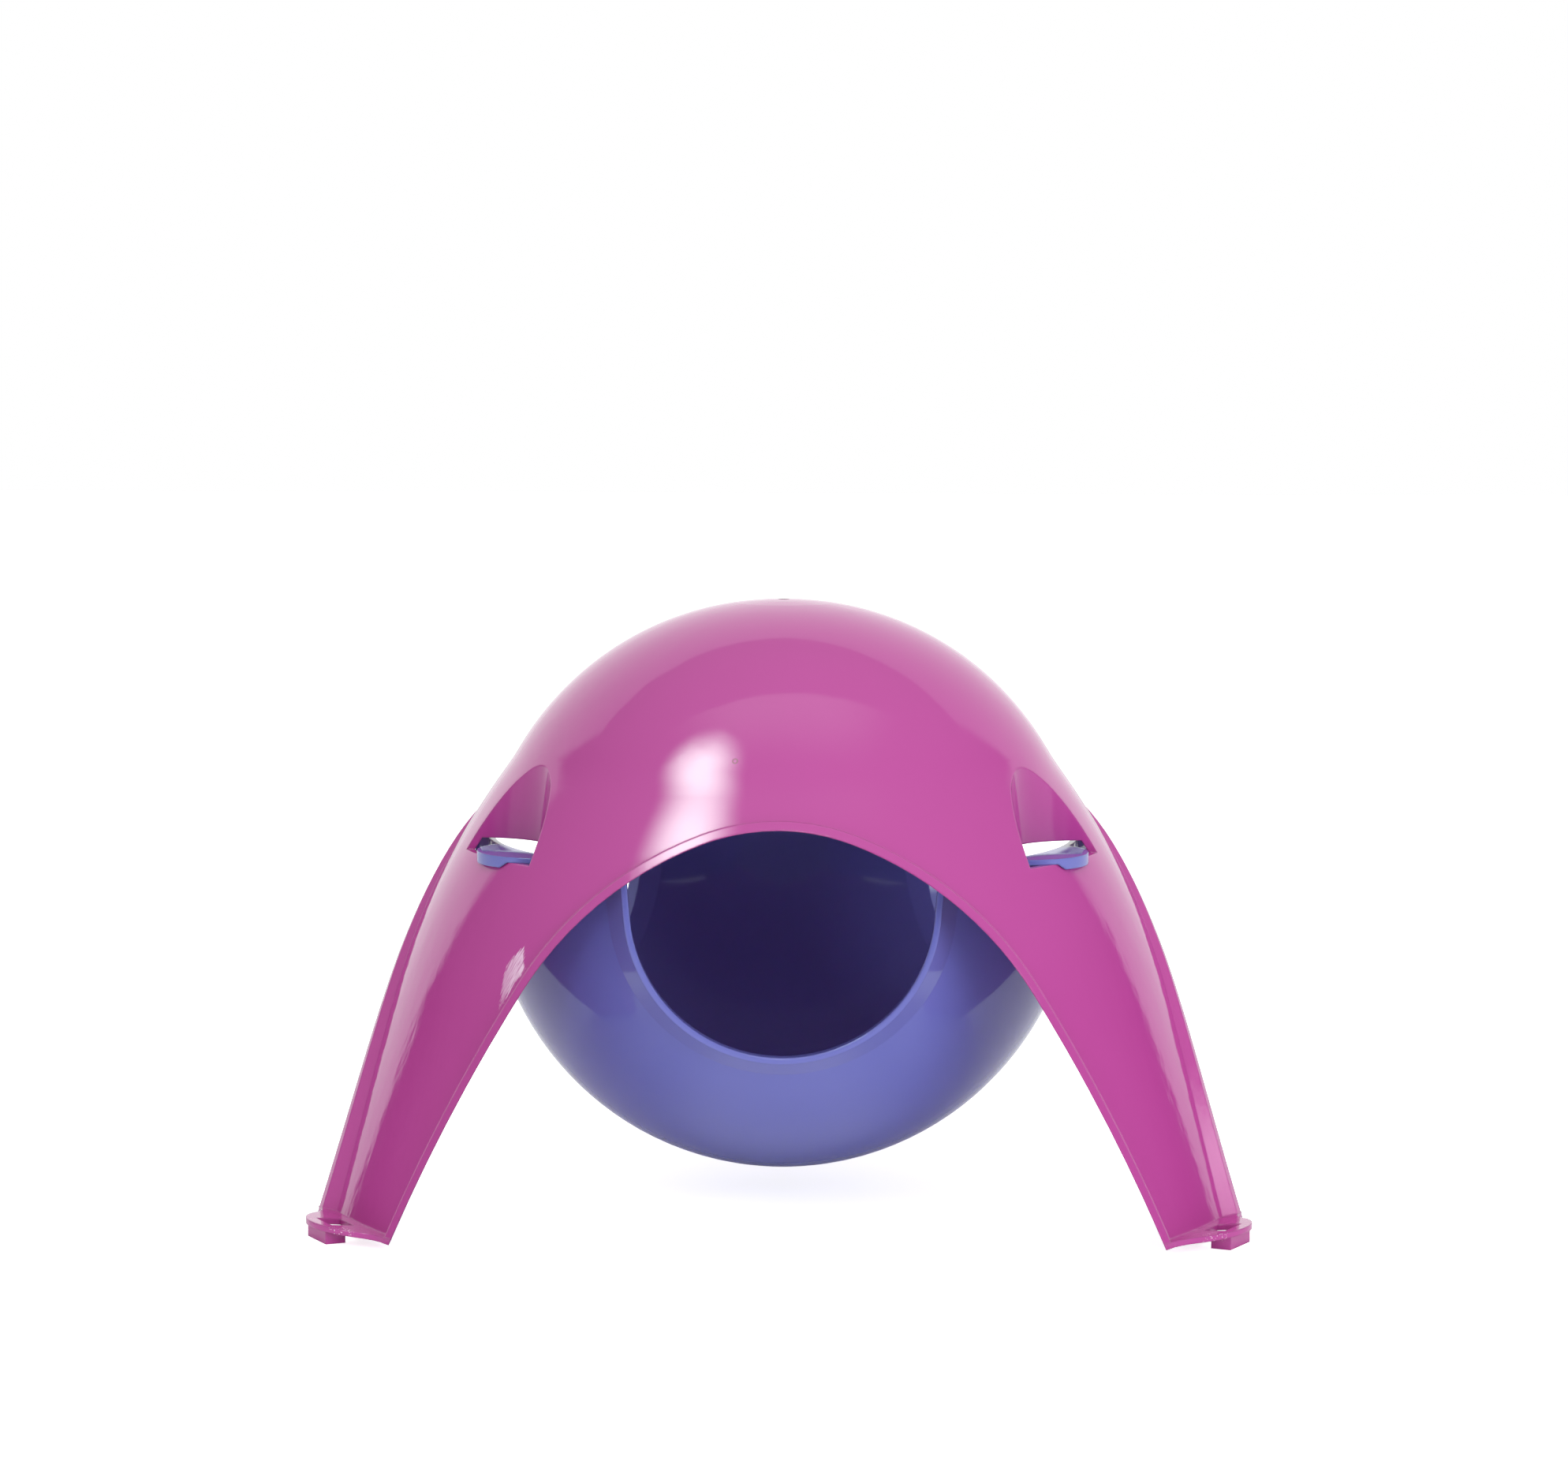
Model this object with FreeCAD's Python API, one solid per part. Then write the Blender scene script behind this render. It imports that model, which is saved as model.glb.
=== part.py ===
import FreeCAD
import Part
import math
import os

# A nest house for a small rodent, in millimetres: a domed roof on three legs, and a round bowl
# that hangs inside it by three tabs. +Z is up. The origin is on the axis of the dome, at the
# level the feet stand on, and -Y is the front, where one of the three arches opens.

# The layout repeats three times round the axis: arches face 0, 120 and 240 degrees,
# and a leg stands half way between each two
arch_turns = (0.0, 120.0, 240.0)
leg_turns = (60.0, 180.0, 300.0)

# Outer face of the dome and legs: tangent arcs from the crown down, each with the angle below
# level at which it ends, and a straight run from the last one to the foot
roof_height = 126.65
roof_wall = 1.5
crown_radius = 72.25
crown_angle = 8.2
shoulder_radius = 63.4
shoulder_angle = 59.4
waist_radius = 59.6
waist_angle = 54.3
hip_radius = 190.0
leg_angle = 69.75

# Arches between the legs: the clear outline as it is seen from straight ahead
arch_height = 85.0
arch_crown_radius = 41.7
arch_crown_angle = 21.25
arch_haunch_radius = 73.0
arch_haunch_angle = 58.1
arch_side_radius = 391.0
arch_side_angle = 66.5

# Lip round each arch: thicker over the crown, and standing further out towards the feet
lip_thickness = 1.25
lip_crown_extra = 0.5
lip_reach_crown = 1.0
lip_reach_foot = 2.4

# Eye shaped pocket over each leg: an upright cylinder sunk into the dome, its axis outset from
# the dome's face at the sill, with a wall behind it that stops above the slot for the tab
pocket_radius = 16.0
pocket_outset = 3.95
pocket_wall = 1.5
slot_height = 2.5

# Foot at the end of each leg: a plate that rises outwards, with a hole through it and a boss
# under it, round the outer end of the hole. Distances run outwards from the leg's face.
plate_level = 2.7
plate_thickness = 1.2
plate_tilt = 7.5
foot_length = 10.3
foot_nose_radius = 13.2
foot_nose_angle = 55.0
foot_hollow_radius = 8.0
foot_hollow_angle = 12.0
foot_hole_start = 2.4
foot_hole_length = 5.0
foot_hole_width_in = 7.0
foot_hole_width_out = 7.8
boss_start = 4.9
boss_wall_out = 1.6
boss_width_in = 10.0
boss_width_out = 9.2

# Bowl: a ball shaped cup whose wall stands straight up from the level of its centre
bowl_radius = 62.6
bowl_wall = 1.4
bowl_level = 68.5
bowl_rise = 8.1

# Mouths of the bowl: U shaped cuts whose sides lean outwards. Each has a collar that narrows
# outwards and ends in a short land with rounded edges. Its bore is straight over a length from
# the collar's end and bevelled inside that. The height is measured from the ball.
mouth_radius = 30.55
mouth_level = 68.9
mouth_lean = 5.0
collar_wall = 1.4
collar_height = 3.3
collar_land = 1.1
collar_flare = 37.0
collar_edge_radius = 0.4
bore_length = 2.75

# Tabs that carry the bowl on the sills of the slots, each with a catch behind its tip
tab_radius = 14.45
tab_overhang = 1.8
tab_thickness = 1.1
catch_drop = 1.2
catch_clearance = 0.25

# The tabs have play in their slots, and the bowl hangs turned a little
bowl_turn = 0.75

rim_level = bowl_level + bowl_rise
sill_level = rim_level - tab_thickness
collar_radius = mouth_radius + collar_wall
collar_reach = math.sqrt(bowl_radius ** 2 - collar_radius ** 2) + collar_height
far = 2.0 * roof_height


def normal(slope):
    angle = math.radians(slope)
    return FreeCAD.Vector(math.sin(angle), 0, math.cos(angle))


def falling(slope):
    angle = math.radians(slope)
    return FreeCAD.Vector(math.cos(angle), 0, -math.sin(angle))


def arc_chain(height, arcs, offset, end_level):
    """Tangent arcs in the XZ plane from the top point (0, height) outwards and down, then a
    straight run to end_level. A negative radius is a hollow arc."""
    edges = []
    centre = FreeCAD.Vector(0, 0, height - arcs[0][0])
    slope = 0.0
    radius = arcs[0][0]
    for next_radius, next_slope in arcs:
        centre = centre + normal(slope) * (radius - next_radius)
        radius = next_radius
        points = []
        for share in (0.0, 0.5, 1.0):
            at = slope + (next_slope - slope) * share
            points.append(centre + normal(at) * (radius + offset))
        edges.append(Part.Arc(points[0], points[1], points[2]).toShape())
        slope = next_slope
    start = centre + normal(slope) * (radius + offset)
    run = (start.z - end_level) / math.sin(math.radians(slope))
    edges.append(Part.makeLine(start, start + falling(slope) * run))
    return edges


def first_point(edges):
    return edges[0].Vertexes[0].Point


def last_point(edges):
    return edges[-1].Vertexes[-1].Point


def mirrored(shape):
    return shape.mirror(FreeCAD.Vector(0, 0, 0), FreeCAD.Vector(1, 0, 0))


def turned(shape, degrees):
    copy = shape.copy()
    copy.rotate(FreeCAD.Vector(0, 0, 0), FreeCAD.Vector(0, 0, 1), degrees)
    return copy


def all_round(shape, turns):
    copies = [turned(shape, degrees) for degrees in turns]
    return copies[0].fuse(copies[1:])


def spun(edges):
    """Solid of revolution under an open outline that starts on the axis."""
    low = last_point(edges)
    foot = FreeCAD.Vector(0, 0, low.z)
    closing = [Part.makeLine(low, foot), Part.makeLine(foot, first_point(edges))]
    face = Part.Face(Part.Wire(edges + closing))
    return face.revolve(FreeCAD.Vector(0, 0, 0), FreeCAD.Vector(0, 0, 1), 360)


roof_arcs = (
    (crown_radius, crown_angle),
    (shoulder_radius, shoulder_angle),
    (-waist_radius, waist_angle),
    (hip_radius, leg_angle),
)
arch_arcs = (
    (arch_crown_radius, arch_crown_angle),
    (arch_haunch_radius, arch_haunch_angle),
    (arch_side_radius, arch_side_angle),
)
foot_arcs = (
    (foot_nose_radius, foot_nose_angle),
    (-foot_hollow_radius, foot_hollow_angle),
)


def roof_outline(offset):
    return arc_chain(roof_height, roof_arcs, offset, -roof_height)


def roof_body(offset):
    return spun(roof_outline(offset))


def face_distance(level):
    """Distance from the axis to the outer face of the dome or a leg, at a level."""
    ray = Part.makeLine(FreeCAD.Vector(0, 0, level), FreeCAD.Vector(far, 0, level))
    return Part.Wire(roof_outline(0.0)).distToShape(ray)[1][0][0].x


def lip_body():
    """Body that the lips reach out to: the dome's outline moved outwards by a reach that grows
    from the crown of the arch to the foot."""
    growth = (lip_reach_foot - lip_reach_crown) / (arch_height - plate_level)
    outline = roof_outline(0.0)
    points = []
    for edge in outline[1:]:
        points.extend(edge.discretize(9)[:-1])
    points.append(last_point(outline))
    moved = []
    for point in points:
        reach = lip_reach_crown + growth * (arch_height - point.z)
        moved.append(point + FreeCAD.Vector(max(reach, 0.0), 0, 0))
    curve = Part.BSplineCurve()
    curve.interpolate(moved)
    top = FreeCAD.Vector(0, 0, moved[0].z)
    return spun([Part.makeLine(top, moved[0]), curve.toShape()])


def arch_prism(offset, raised):
    """Front arch as a solid that runs from the axis out past the legs."""
    side = arc_chain(arch_height + raised, arch_arcs, offset, -roof_height)
    other = [mirrored(edge) for edge in side]
    base = Part.makeLine(last_point(side), mirrored(Part.Vertex(last_point(side))).Point)
    face = Part.Face(Part.Wire(Part.__sortEdges__(side + other + [base])))
    return face.extrude(FreeCAD.Vector(0, -far, 0))


def make_lips(outer, inner):
    strip = arch_prism(lip_thickness, lip_crown_extra).cut(arch_prism(0.0, 0.0))
    lip = strip.common(outer).cut(inner)
    return all_round(lip, arch_turns)


def upright(radius, distance, low, high):
    """Upright cylinder on the front side of the axis."""
    return Part.makeCylinder(radius, high - low, FreeCAD.Vector(0, -distance, low))


def make_pocket_walls(body):
    low = sill_level + slot_height
    distance = face_distance(sill_level) + pocket_outset
    wall = upright(pocket_radius + pocket_wall, distance, low, roof_height)
    return all_round(wall.common(body), leg_turns)


def make_pockets():
    distance = face_distance(sill_level) + pocket_outset
    hollow = upright(pocket_radius, distance, sill_level, roof_height)
    return all_round(hollow, leg_turns)


def tapered_prism(start, end, width_start, width_end, low, high):
    """Upright prism on the front side, from start to end along -Y, with a width at each end."""
    corners = [
        FreeCAD.Vector(-width_start / 2, -start, low),
        FreeCAD.Vector(width_start / 2, -start, low),
        FreeCAD.Vector(width_end / 2, -end, low),
        FreeCAD.Vector(-width_end / 2, -end, low),
    ]
    face = Part.Face(Part.makePolygon(corners + corners[:1]))
    return face.extrude(FreeCAD.Vector(0, 0, high - low))


def tilted_block(low, high):
    """Block between two levels measured square to the plate, whose top is the zero level."""
    block = Part.makeBox(far, far, high - low, FreeCAD.Vector(-far / 2, -far / 2, low))
    block.rotate(FreeCAD.Vector(0, 0, 0), FreeCAD.Vector(1, 0, 0), -plate_tilt)
    block.translate(FreeCAD.Vector(0, -face_distance(plate_level), plate_level))
    return block


def foot_outline():
    """Outline of the plate seen from above, closed behind the leg."""
    face = face_distance(plate_level)
    side = arc_chain(face + foot_length, foot_arcs, 0.0, face - 2 * roof_wall)
    other = [mirrored(edge) for edge in side]
    base = Part.makeLine(last_point(side), mirrored(Part.Vertex(last_point(side))).Point)
    wire = Part.Wire(Part.__sortEdges__(side + other + [base]))
    wire.rotate(FreeCAD.Vector(0, 0, 0), FreeCAD.Vector(1, 0, 0), 90)
    return wire


def make_foot(inner):
    """Front foot: the plate, and the boss under it whose bottom stands on the floor."""
    face = face_distance(plate_level)
    prism = Part.Face(foot_outline()).extrude(FreeCAD.Vector(0, 0, roof_height))
    plate = prism.common(tilted_block(-plate_thickness, 0.0)).cut(inner)
    hole_start = face + foot_hole_start
    hole_end = hole_start + foot_hole_length
    boss = tapered_prism(
        face + boss_start,
        hole_end + boss_wall_out,
        boss_width_in,
        boss_width_out,
        0.0,
        roof_height,
    )
    boss = boss.cut(tilted_block(-plate_thickness / 2, far))
    hole = tapered_prism(
        hole_start,
        hole_end,
        foot_hole_width_in,
        foot_hole_width_out,
        -plate_level,
        roof_height,
    )
    return plate.fuse(boss).cut(hole)


def make_roof():
    outer = roof_body(0.0)
    inner = roof_body(-roof_wall)
    arches = all_round(arch_prism(0.0, 0.0), arch_turns)
    roof = outer.cut(inner)
    roof = roof.fuse(make_lips(lip_body(), inner))
    roof = roof.cut(arches)
    roof = roof.fuse(make_pocket_walls(outer)).cut(make_pockets())
    under = tilted_block(-far, -plate_thickness)
    front_half = Part.makeBox(far, far, far, FreeCAD.Vector(-far / 2, -far, -far / 2))
    under = under.common(front_half)
    roof = roof.cut(all_round(under, leg_turns))
    feet = all_round(make_foot(inner), leg_turns)
    feet = feet.cut(arches)
    return roof.fuse(feet).removeSplitter()


def cup(radius, top_level):
    """Ball shaped cup, filled: a half ball with an upright wall on it."""
    centre = FreeCAD.Vector(0, 0, bowl_level)
    ball = Part.makeSphere(radius, centre, FreeCAD.Vector(0, 0, 1), -90, 0, 360)
    wall = Part.makeCylinder(radius, top_level - bowl_level, centre)
    return ball.fuse(wall)


def mouth_wire(distance, widening):
    """Outline of the front mouth at a distance from the axis, moved outwards by a widening."""
    angle = 90.0 - mouth_lean
    arcs = ((mouth_radius, angle),)
    side = arc_chain(mouth_radius, arcs, widening, mouth_level - rim_level - bowl_wall)
    other = [mirrored(edge) for edge in side]
    base = Part.makeLine(last_point(side), mirrored(Part.Vertex(last_point(side))).Point)
    wire = Part.Wire(Part.__sortEdges__(side + other + [base]))
    wire.rotate(FreeCAD.Vector(0, 0, 0), FreeCAD.Vector(0, 1, 0), 180)
    wire.translate(FreeCAD.Vector(0, -distance, mouth_level))
    return wire


def mouth_loft(inner_distance, inner_widening, outer_distance, outer_widening):
    inner = mouth_wire(inner_distance, inner_widening)
    outer = mouth_wire(outer_distance, outer_widening)
    return Part.makeLoft([inner, outer], True, True)


def make_collar():
    """Filled collar of the front mouth: a flare out of the bowl, and the land at its end."""
    neck = collar_reach - collar_land
    length = 3 * collar_height
    widening = collar_wall + length * math.tan(math.radians(collar_flare))
    flare = mouth_loft(neck - length, widening, neck, collar_wall)
    land = mouth_loft(neck, collar_wall, collar_reach, collar_wall)
    return flare.fuse(land)


def make_bore():
    """Clear space of the front mouth, with the bevel at its inner end."""
    start = collar_reach - bore_length
    depth = 2 * bore_length
    straight = mouth_loft(start, 0.0, far, 0.0)
    return straight.fuse(mouth_loft(start - depth, depth, start, 0.0))


def rim_edges(body):
    """Edges of the collars' end faces, apart from those at the level of the bowl's rim."""
    found = []
    for edge in body.Edges:
        corners = [vertex.Point for vertex in edge.Vertexes]
        if min(point.z for point in corners) > rim_level - collar_land:
            continue
        for degrees in arch_turns:
            angle = math.radians(degrees)
            outwards = FreeCAD.Vector(math.sin(angle), -math.cos(angle), 0)
            reaches = [point.dot(outwards) for point in corners]
            if max(abs(reach - collar_reach) for reach in reaches) < 0.001:
                found.append(edge)
    return found


def make_tab():
    """Front tab: part of a disc level with the rim. The catch under its tip keeps clear of the
    roof, which it hooks over."""
    disc_distance = face_distance(sill_level) + tab_overhang - tab_radius
    disc = upright(tab_radius, disc_distance, sill_level, rim_level)
    catch = upright(tab_radius, disc_distance, sill_level - catch_drop, rim_level)
    catch = catch.cut(roof_body(catch_clearance))
    front_half = Part.makeBox(far, far, far, FreeCAD.Vector(-far / 2, -far, -far / 2))
    return disc.fuse(catch.common(front_half))


def make_bowl():
    outside = cup(bowl_radius, rim_level)
    inside = cup(bowl_radius - bowl_wall, rim_level + bowl_wall)
    below_rim = Part.makeBox(far, far, far, FreeCAD.Vector(-far / 2, -far / 2, rim_level - far))
    collars = all_round(make_collar(), arch_turns).common(below_rim)
    body = outside.fuse(collars).fuse(all_round(make_tab(), leg_turns))
    body = body.cut(inside).cut(all_round(make_bore(), arch_turns)).removeSplitter()
    body = body.makeFillet(collar_edge_radius, rim_edges(body))
    return turned(body, bowl_turn)


os.makedirs("parts", exist_ok=True)
pieces = {"roof": make_roof(), "bowl": make_bowl()}
for name, shape in pieces.items():
    solid = shape.Solids[0]
    box = solid.BoundBox
    print(name, "solids", len(shape.Solids), "valid", solid.isValid(), "faces", len(solid.Faces))
    print("  volume", round(solid.Volume, 1), "box", [round(v, 2) for v in (
        box.XMin, box.XMax, box.YMin, box.YMax, box.ZMin, box.ZMax)])
    solid.exportStep("parts/" + name + ".step")
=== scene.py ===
import bpy
import bmesh
import math
from mathutils import Vector, Matrix

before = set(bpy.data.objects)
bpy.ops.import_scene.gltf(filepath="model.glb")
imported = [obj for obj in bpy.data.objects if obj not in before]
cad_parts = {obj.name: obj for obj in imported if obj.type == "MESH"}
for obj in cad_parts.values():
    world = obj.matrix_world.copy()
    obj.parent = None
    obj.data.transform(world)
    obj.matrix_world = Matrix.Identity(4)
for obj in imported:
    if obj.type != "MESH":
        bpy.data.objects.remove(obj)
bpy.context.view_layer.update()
print("stage: frame loaded")


# A node's output in a shader tree, with arithmetic
class Wire:
    def __init__(self, tree, socket):
        self.tree = tree
        self.socket = socket

    def join(self, operation, other, swapped=False):
        pair = (other, self) if swapped else (self, other)
        return addNode(self.tree, "Math", {"operation": operation}, {0: pair[0], 1: pair[1]})

    def __add__(self, other):
        return self.join("ADD", other)

    def __radd__(self, other):
        return self.join("ADD", other, True)

    def __sub__(self, other):
        return self.join("SUBTRACT", other)

    def __rsub__(self, other):
        return self.join("SUBTRACT", other, True)

    def __mul__(self, other):
        return self.join("MULTIPLY", other)

    def __rmul__(self, other):
        return self.join("MULTIPLY", other, True)

    def __truediv__(self, other):
        return self.join("DIVIDE", other)

    def __neg__(self):
        return self.join("MULTIPLY", -1.0)

    def __abs__(self):
        return self.join("ABSOLUTE", 0.0)

    def atLeast(self, other):
        return self.join("MAXIMUM", other)

    # 0 at low and 1 at high, with a smooth step between
    def step(self, low, high):
        ends = {"Value": self, "From Min": low, "From Max": high}
        return addNode(self.tree, "MapRange", {"interpolation_type": "SMOOTHSTEP"}, ends)


def plug(tree, value, socket):
    if isinstance(value, Wire):
        tree.links.new(value.socket, socket)
    else:
        socket.default_value = value


def addNode(tree, kind, settings=None, inputs=None, output=0):
    node = tree.nodes.new("ShaderNode" + kind)
    for name, value in (settings or {}).items():
        setattr(node, name, value)
    for name, value in (inputs or {}).items():
        plug(tree, value, node.inputs[name])
    return Wire(tree, node.outputs[output])


def vectorMath(tree, operation, first, second, output=0):
    return addNode(tree, "VectorMath", {"operation": operation}, {0: first, 1: second}, output)


def noise(tree, place, scale, detail=2.0):
    return addNode(tree, "TexNoise", None, {"Vector": place, "Scale": scale, "Detail": detail})


def cells(tree, place, scale, output=0):
    return addNode(tree, "TexVoronoi", None, {"Vector": place, "Scale": scale}, output)


def mixColour(tree, share, first, second):
    return addNode(tree, "Mix", {"data_type": "RGBA"}, {0: share, 6: first, 7: second}, 2)


# x, y or z of a place, for an axis of 0, 1 or 2
def coordinate(tree, place, axis):
    return addNode(tree, "SeparateXYZ", None, {0: place}, axis)


def lengthOf(tree, place):
    return addNode(tree, "VectorMath", {"operation": "LENGTH"}, {0: place}, 1)


# How far a place is from a spot, in radii of the spot
def awayFrom(tree, place, spot, radius):
    return lengthOf(tree, vectorMath(tree, "SUBTRACT", place, spot)) / radius


def newTree(holder):
    holder.use_nodes = True
    holder.node_tree.nodes.clear()
    return holder.node_tree


def finishTree(tree, kind, shader):
    out = tree.nodes.new("ShaderNodeOutput" + kind)
    tree.links.new(shader.socket, out.inputs["Surface"])


# What both mouldings share. Heights are in metres.
plasticOptions = {
    "ior": 1.5,
    "haze": 0.05,
    "hazeScale": 60.0,
    "speckEdge": 0.02,
    "speckStrength": 0.6,
    "waveScale": 45.0,
    "flowTop": 0.085,
    "flowFade": 0.03,
    "fineScale": 1500.0,
    "fineHeight": 0.0000012,
    "bevelSamples": 4,
}


# Glossy moulded plastic. Each overlay, whether a mark or painted light, is (share, colour, extra
# roughness) over the base.
def makePlastic(name, options, makeOverlays=None):
    shared = plasticOptions
    material = bpy.data.materials.new(name)
    tree = newTree(material)
    place = addNode(tree, "TexCoord", output=3)

    # Soft clouds in the colour and a haze in the gloss
    cloud = noise(tree, place, options["cloudScale"]).step(0.3, 0.7)
    colour = mixColour(tree, cloud, options["colour"], options["colourDeep"])
    hazy = noise(tree, place, shared["hazeScale"], 4.0).step(0.4, 0.9)
    roughness = options["roughness"] + hazy * shared["haze"]

    # Fine specks, in the few cells whose random colour is high enough
    specks = cells(tree, place, options["speckScale"])
    pick = addNode(tree, "SeparateColor", None, {0: cells(tree, place, options["speckScale"], 1)})
    chosen = (pick - (1.0 - options["speckShare"])).atLeast(0.0)
    size = chosen * options["speckSize"] / options["speckShare"]
    speck = (size - specks).step(0.0, shared["speckEdge"])
    colour = mixColour(tree, speck * shared["speckStrength"], colour, options["speckColour"])
    for share, overlayColour, overlayRoughness in (makeOverlays(tree, place) if makeOverlays else []):
        colour = mixColour(tree, share, colour, overlayColour)
        roughness = roughness + share * overlayRoughness

    # Waves all over, flow streaks low down, soft edges and a fine grain
    waves = noise(tree, place, shared["waveScale"], 1.0)
    drawn = vectorMath(tree, "MULTIPLY", place, (1, 1, options["flowStretch"]))
    low = (shared["flowTop"] - coordinate(tree, place, 2)).step(0.0, shared["flowFade"])
    flow = noise(tree, drawn, options["flowScale"], 3.0) * low
    waves = waves + flow * options["flowHeight"]
    samples = {"samples": shared["bevelSamples"]}
    rounded = addNode(tree, "Bevel", samples, {"Radius": options["edgeRound"]})
    wavy = addNode(tree, "Bump", None, {
        "Strength": 1.0, "Distance": options["waveHeight"], "Height": waves, "Normal": rounded})
    fine = noise(tree, place, shared["fineScale"])
    normal = addNode(tree, "Bump", None, {
        "Strength": 1.0, "Distance": shared["fineHeight"], "Height": fine, "Normal": wavy})
    shader = addNode(tree, "BsdfPrincipled", None, {
        "Base Color": colour, "Roughness": roughness, "IOR": shared["ior"], "Normal": normal})
    finishTree(tree, "Material", shader)
    return material


roofOptions = {
    "colour": (0.464, 0.058, 0.292, 1),
    "colourDeep": (0.452, 0.054, 0.282, 1),
    "cloudScale": 14.0,
    "roughness": 0.055,
    "speckScale": 90.0,
    "speckShare": 0.05,
    "speckSize": 0.035,
    "speckColour": (0.70, 0.42, 0.58, 1),
    "waveHeight": 0.00005,
    "flowScale": 260.0,
    "flowStretch": 0.14,
    "flowHeight": 1.5,
    "edgeRound": 0.0005,
    "raggedScale": 900.0,
    # Pale streaky patch on the left leg
    "palePatchTip": (-0.0509, -0.0569, 0.0613),
    "palePatchDown": (-0.36, -0.20, -0.911),
    "palePatchAcross": (0.70, -0.70, -0.123),
    "palePatchLength": 0.0155,
    "palePatchWidth": 0.0026,
    "palePatchReach": 0.022,
    "palePatchColour": (0.86, 0.62, 0.78, 1),
    "palePatchRoughness": 0.25,
    # Painted highlight: white glints on both front feet, where lamps would shine
    "glintPlace": (0.0875, -0.0595, 0.0027),
    "glintRadius": 0.0036,
    "glintSpotScale": 2600.0,
    "glintStrength": 0.7,
    "glintColour": (0.95, 0.85, 0.92, 1),
    "glintRoughness": 0.3,
    # Painted shade: a dark ring round the small pit, for the shaded wall of its hollow
    "pitPlace": (-0.00881, -0.05365, 0.09776),
    "pitRadius": 0.0006,
    "pitShadeStrength": 0.9,
    "pitShadeColour": (0.20, 0.03, 0.08, 1),
    "pitRoughness": 0.3,
    "gatePlace": (0.0, 0.0, 0.12665),
    "gateRadius": 0.0014,
    "gateStrength": 0.9,
    "gateColour": (0.10, 0.02, 0.05, 1),
    "gateRoughness": 0.6,
}


# Pale streaky patch on the left leg, painted highlight glints on both front feet, painted
# shade in a ring round the small pit in the dome, and the gate mark at its crown
def makeRoofMarksAndPaintedLight(tree, place):
    o = roofOptions
    ragged = noise(tree, place, o["raggedScale"], 4.0)

    # The pale patch is a leaf with a ragged edge and streaks, from its tip downwards
    local = vectorMath(tree, "SUBTRACT", place, o["palePatchTip"])
    down = vectorMath(tree, "DOT_PRODUCT", local, o["palePatchDown"], 1) / o["palePatchLength"]
    across = vectorMath(tree, "DOT_PRODUCT", local, o["palePatchAcross"], 1) / o["palePatchWidth"]
    streakPlace = addNode(tree, "CombineXYZ", None, {0: across * 3.0 + down * 2.0, 1: down * 1.6})
    streak = noise(tree, streakPlace, 3.0, 5.0)
    width = down.step(-0.05, 0.36) * (1.0 - down.step(0.34, 1.04))
    edge = width - abs(across - 0.1) + (streak - 0.5) * 0.9 + (ragged - 0.5) * 0.4
    leaf = edge.step(0.0, 0.25) * width.step(0.0, 0.2)
    near = (o["palePatchReach"] - lengthOf(tree, local)).step(0.0, 0.003)
    bright = streak.step(0.30, 0.62) * (1.3 - down + across * 0.4).step(0.2, 1.2)
    palePatch = leaf * near * (0.30 + bright * 0.65)

    # Painted shade: a dark ring that stands in for the shaded wall of the small pit
    fromPit = awayFrom(tree, place, o["pitPlace"], o["pitRadius"])
    pitShadeRing = (0.35 - abs(fromPit - 0.8)).step(0.0, 0.25)

    # One painted glint on each front foot, white specks that stand in for lamp highlights, from a
    # place whose x has no sign
    bothSides = addNode(tree, "CombineXYZ", None, {
        0: abs(coordinate(tree, place, 0)),
        1: coordinate(tree, place, 1),
        2: coordinate(tree, place, 2)})
    fromGlint = awayFrom(tree, bothSides, o["glintPlace"], o["glintRadius"])
    glintSpots = (0.36 - cells(tree, place, o["glintSpotScale"])).step(0.0, 0.1)
    paintedGlint = glintSpots * (1.0 - fromGlint).step(0.0, 0.6) * ragged.step(0.45, 0.58)

    fromGate = awayFrom(tree, place, o["gatePlace"], o["gateRadius"])
    gate = (1.0 - fromGate).step(0.0, 0.3)
    # The pale patch, the painted glints, the pit's painted shade and the gate mark
    return [
        (palePatch, o["palePatchColour"], o["palePatchRoughness"]),
        (paintedGlint * o["glintStrength"], o["glintColour"], o["glintRoughness"]),
        (pitShadeRing * o["pitShadeStrength"], o["pitShadeColour"], o["pitRoughness"]),
        (gate * o["gateStrength"], o["gateColour"], o["gateRoughness"]),
    ]


bowlOptions = {
    "colour": (0.152, 0.166, 0.505, 1),
    "colourDeep": (0.145, 0.157, 0.490, 1),
    "cloudScale": 18.0,
    "roughness": 0.06,
    "speckScale": 110.0,
    "speckShare": 0.04,
    "speckSize": 0.03,
    "speckColour": (0.45, 0.45, 0.75, 1),
    "waveHeight": 0.00004,
    "flowScale": 120.0,
    "flowStretch": 0.5,
    "flowHeight": 0.06,
    "edgeRound": 0.0004,
}

roofPlastic = makePlastic("roofPlastic", roofOptions, makeRoofMarksAndPaintedLight)
bowlPlastic = makePlastic("bowlPlastic", bowlOptions)
for nodeName, material in (("roof", roofPlastic), ("bowl", bowlPlastic)):
    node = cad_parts[nodeName]
    node.data.materials.clear()
    node.data.materials.append(material)
print("stage: materials")

# The pool is the only part of the paper whose glow is mirrored
floorOptions = {
    "size": 4.0,
    "frontEdge": 0.45,
    "colour": (0.92, 0.92, 0.92, 1),
    "glow": 0.75,
    "pool": 0.5,
    "poolWidth": 0.045,
    "poolEnd": 0.20,
}


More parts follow.
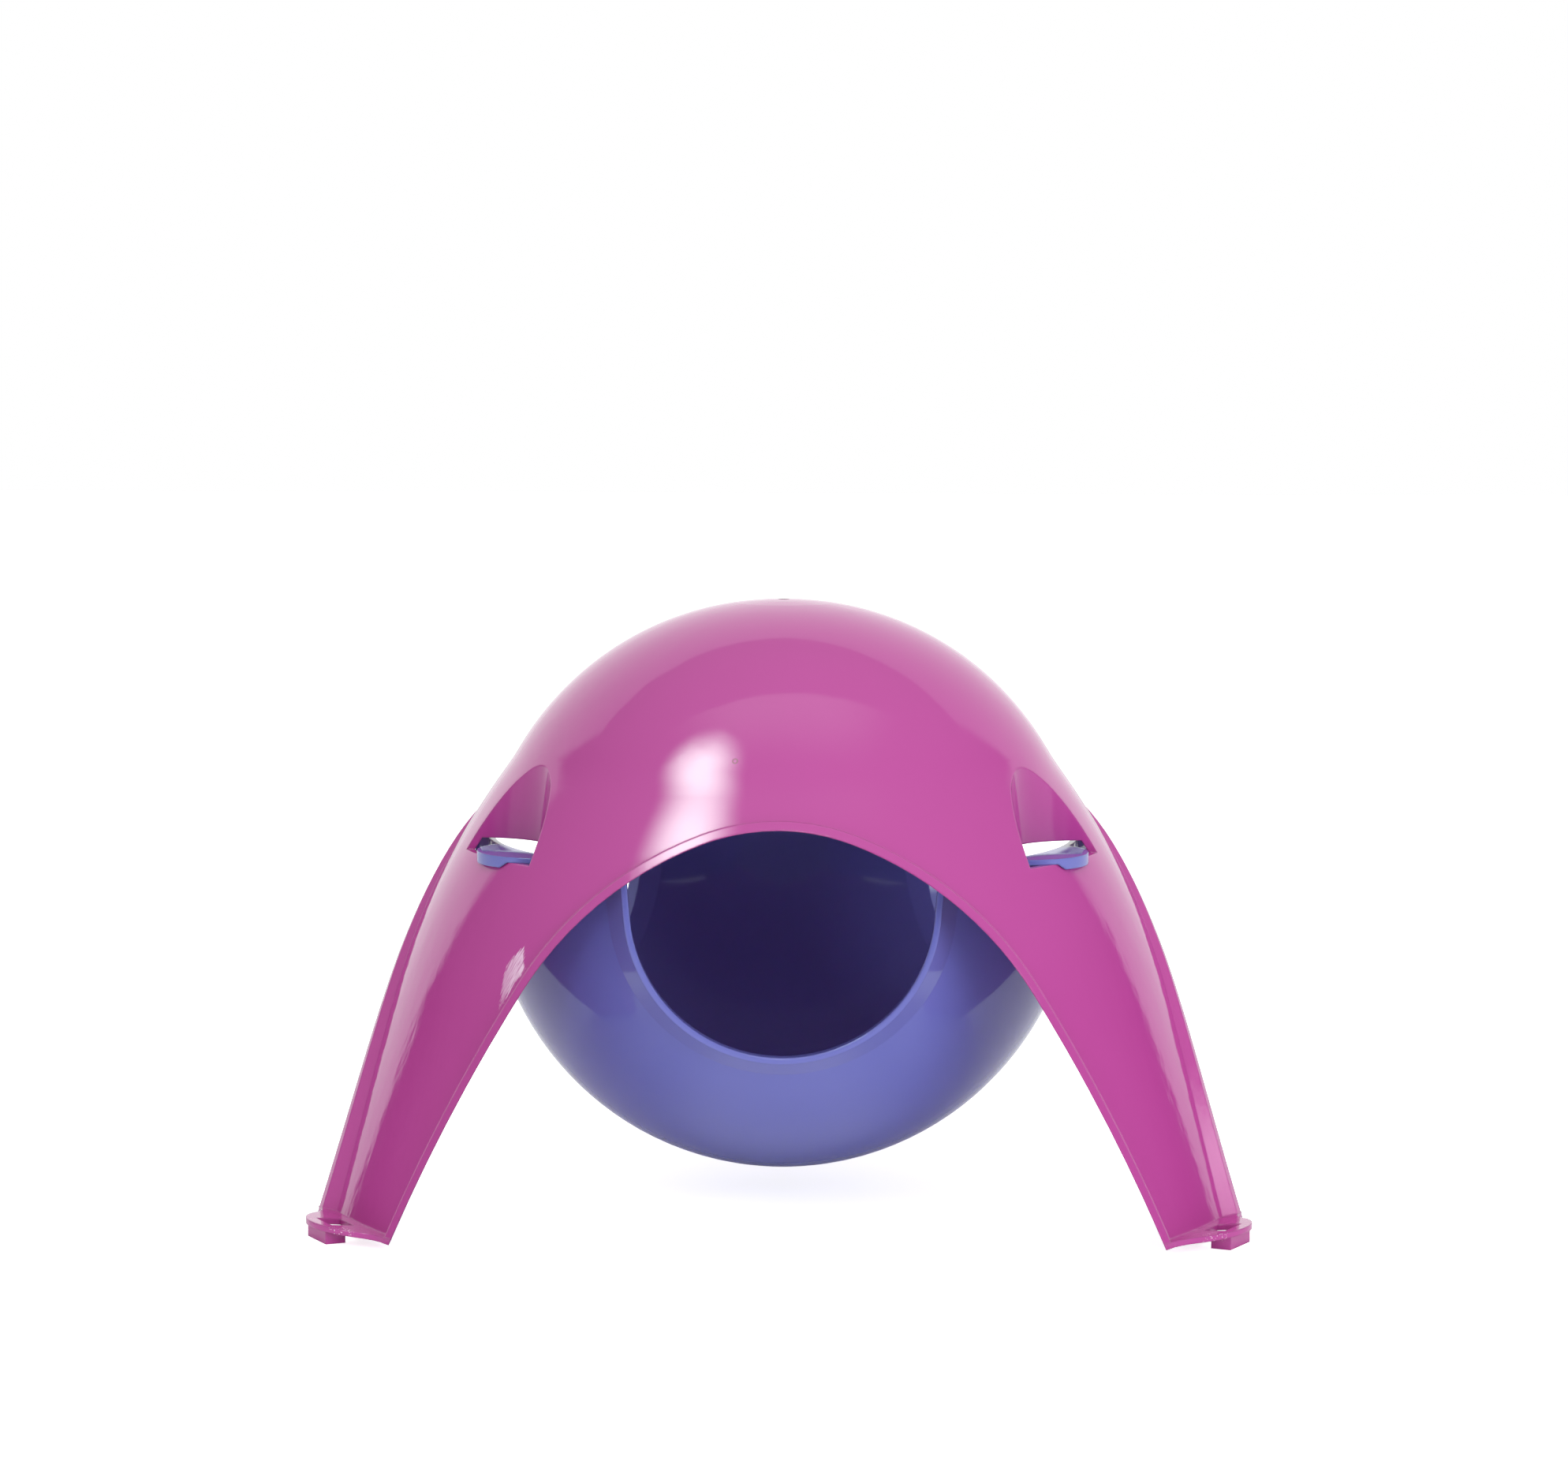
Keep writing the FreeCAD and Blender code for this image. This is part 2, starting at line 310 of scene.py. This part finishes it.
# White paper that looks pure white to the camera where no shadow falls
def makeFloor():
    o = floorOptions
    material = bpy.data.materials.new("floorPaper")
    tree = newTree(material)
    camera = addNode(tree, "LightPath")
    glossy = addNode(tree, "LightPath", output=3)
    passedThrough = addNode(tree, "LightPath", output=6)
    place = addNode(tree, "TexCoord", output=3)
    aside = abs(coordinate(tree, place, 0))
    front = -coordinate(tree, place, 1)
    pool = (o["poolWidth"] - aside).step(0.0, 0.03) * front.step(0.01, 0.035)
    pool = pool * (o["poolEnd"] - front).step(0.0, 0.05)
    diffuse = addNode(tree, "BsdfDiffuse", None, {"Color": o["colour"]})
    strength = (camera + (glossy + passedThrough) * pool * o["pool"]) * o["glow"]
    glow = addNode(tree, "Emission", None, {"Color": (1, 1, 1, 1), "Strength": strength})
    finishTree(tree, "Material", addNode(tree, "AddShader", None, {0: diffuse, 1: glow}))
    mesh = bpy.data.meshes.new("floor")
    board = bmesh.new()
    bmesh.ops.create_grid(board, x_segments=1, y_segments=1, size=o["size"] / 2)
    shift = o["size"] / 2 - o["frontEdge"]
    bmesh.ops.translate(board, verts=board.verts, vec=(0, shift, 0))
    board.to_mesh(mesh)
    board.free()
    mesh.materials.append(material)
    floor = bpy.data.objects.new("floor", mesh)
    bpy.context.scene.collection.objects.link(floor)


makeFloor()

studioOptions = {
    "panel": 1.15,
    "panelWide": 1.10,
    "panelHigh": 1.42,
    "sideLow": 0.17,
    "sideUp": 0.88,
    "sideBack": 0.43,
    "sideLeast": 0.05,
    "ceiling": 0.85,
    "ceilingDepth": 0.6,
    "dark": 0.9,
}


# Studio by direction, as surfaces mirror it and are lit by it: a white screen behind the
# object, dimmer sides that brighten upwards and to the front, a soft ceiling panel above the
# front and the dark room behind the camera. The camera itself sees plain white.
def makeStudio():
    world = bpy.data.worlds.new("studio")
    bpy.context.scene.world = world
    tree = newTree(world)
    o = studioOptions
    direction = addNode(tree, "TexCoord")
    x, y, z = (coordinate(tree, direction, axis) for axis in range(3))

    # The screen, on a flat plane behind the object
    ahead = y.atLeast(0.02)
    wide = abs(x) / ahead
    high = z / ahead
    soft = 0.05 + high.atLeast(0.0) * 0.08
    halfWidth = o["panelWide"] - x * 0.02 + high * (0.50 - x * 0.10)
    panel = (halfWidth - wide).step(-soft, soft)
    panel = panel * (o["panelHigh"] + wide * 0.2 - high).step(-0.04, 0.04)
    panel = panel * y.step(0.02, 0.04)
    side = (o["sideLow"] + z * o["sideUp"] - y * o["sideBack"]).atLeast(o["sideLeast"])

    # The ceiling panel, on a flat plane above the object
    up = z.atLeast(0.02)
    left = x / up
    back = y / up
    ceiling = (0.02 + left * 0.1 - back).step(-0.02, 0.02)
    ceiling = ceiling * (back + o["ceilingDepth"]).step(0.0, 0.5)
    ceiling = ceiling * (0.5 - abs(left)).step(-0.2, 0.3) * z.step(0.02, 0.1)

    room = (-y).step(0.80, 0.93) * (0.5 - z).step(0.0, 0.1) * (z + 0.25).step(0.0, 0.1)
    light = side * (1.0 - room * o["dark"]) + panel * (o["panel"] - x * 0.12 - side)
    light = light + ceiling * o["ceiling"]
    seen = addNode(tree, "LightPath")
    strength = light + seen * (1.0 - light)
    background = {"Color": (1, 1, 1, 1), "Strength": strength}
    finishTree(tree, "World", addNode(tree, "Background", None, background))


makeStudio()


def makeLamp(name, options):
    data = bpy.data.lights.new(name, "AREA")
    data.shape = "RECTANGLE"
    data.size = options["width"]
    data.size_y = options["height"]
    data.energy = options["watts"]
    data.color = options["colour"]
    lamp = bpy.data.objects.new(name, data)
    lamp.location = options["place"]
    aim = Vector(options["target"]) - Vector(options["place"])
    lamp.rotation_euler = aim.to_track_quat("-Z", "Y").to_euler()
    bpy.context.scene.collection.objects.link(lamp)
    return lamp


# Lamp that lights the surfaces and isn't mirrored in them
def makePlainLamp(name, options):
    makeLamp(name, options).visible_glossy = False


# Lamp that is only mirrored, and fades from its middle to its edges
def makeMirroredLamp(name, options):
    lamp = makeLamp(name, options)
    lamp.visible_diffuse = False
    tree = newTree(lamp.data)
    onLamp = addNode(tree, "NewGeometry", output=5)  # runs from 0 to 1 over the lamp
    across = coordinate(tree, onLamp, 0) - 0.5
    down = coordinate(tree, onLamp, 1) - 0.5
    off = addNode(tree, "Math", {"operation": "SQRT"}, {0: across * across + down * down})
    fade = (0.5 - off).step(0.0, options["fade"])
    finishTree(tree, "Light", addNode(tree, "Emission", None, {"Strength": fade}))


# Main light, low at the right front
keyOptions = {
    "place": (0.84, -1.05, 0.42),
    "target": (0, 0, 0.06),
    "width": 0.7,
    "height": 0.7,
    "watts": 7.2,
    "colour": (0.97, 1.0, 1.10),
}

# Large highlight at the dome's left front, slightly green, so that it stays pale on the pink
softOptions = {
    "place": (-0.535, -0.525, 1.00),
    "target": (-0.018, -0.055, 0.09),
    "width": 0.66,
    "height": 0.74,
    "watts": 28.0,
    "fade": 0.46,
    "colour": (0.82, 1.0, 0.91),
}

# Small lamp at the left front that reaches the right half of the nest through the mouth
fillOptions = {
    "place": (-0.435, -1.065, 0.12),
    "target": (0, 0, 0.05),
    "width": 0.2,
    "height": 0.2,
    "watts": 1.1,
    "colour": (0.97, 1.0, 1.10),
}

# Two lamps that edges and steps mirror when seen from the front: one above the camera, which
# is slightly green too, and one at the right
edgeOptions = {
    "place": (0.05, -1.00, 0.84),
    "target": (0, -0.05, 0.07),
    "width": 0.8,
    "height": 0.22,
    "watts": 13.0,
    "fade": 0.4,
    "colour": (0.9, 1.0, 0.95),
}
sideOptions = {
    "place": (1.07, -0.38, 0.60),
    "target": (0.09, -0.03, 0.03),
    "width": 0.36,
    "height": 0.30,
    "watts": 1.4,
    "fade": 0.45,
    "colour": (1.0, 1.0, 1.0),
}

makePlainLamp("keyLamp", keyOptions)
makeMirroredLamp("softLamp", softOptions)
makePlainLamp("fillLamp", fillOptions)
makeMirroredLamp("edgeLamp", edgeOptions)
makeMirroredLamp("sideLamp", sideOptions)
print("stage: floor, light")

# Place and turn of the photograph's camera, and its focal length in the photograph's pixels
cameraOptions = {
    "place": (0.01343033, -0.88295733, 0.18589734),
    "pitch": math.radians(5.76564),
    "yaw": math.radians(-0.86285),
    "roll": math.radians(0.17902),
    "focal": 5299.086,
    "imageWidth": 1988,
    "sensor": 36.0,
    "clipStart": 0.01,
    "clipEnd": 50,
}


def makeCamera():
    o = cameraOptions
    pitch, yaw, roll = o["pitch"], o["yaw"], o["roll"]
    facing = Vector((math.sin(yaw), math.cos(yaw), 0))
    upright = Vector((0, 0, 1))
    right = Vector((math.cos(yaw), -math.sin(yaw), 0))
    up = facing * math.sin(pitch) + upright * math.cos(pitch)
    ahead = facing * math.cos(pitch) - upright * math.sin(pitch)
    camRight = right * math.cos(roll) + up * math.sin(roll)
    camUp = up * math.cos(roll) - right * math.sin(roll)
    data = bpy.data.cameras.new("photoCamera")
    data.sensor_width = o["sensor"]
    data.lens = o["sensor"] * o["focal"] / o["imageWidth"]
    data.clip_start = o["clipStart"]
    data.clip_end = o["clipEnd"]
    camera = bpy.data.objects.new("photoCamera", data)
    turn = Matrix((camRight, camUp, -ahead)).transposed().to_4x4()
    camera.matrix_world = Matrix.Translation(o["place"]) @ turn
    bpy.context.scene.collection.objects.link(camera)
    bpy.context.scene.camera = camera


makeCamera()
bpy.context.scene.view_settings.view_transform = "Standard"
print("stage: camera")
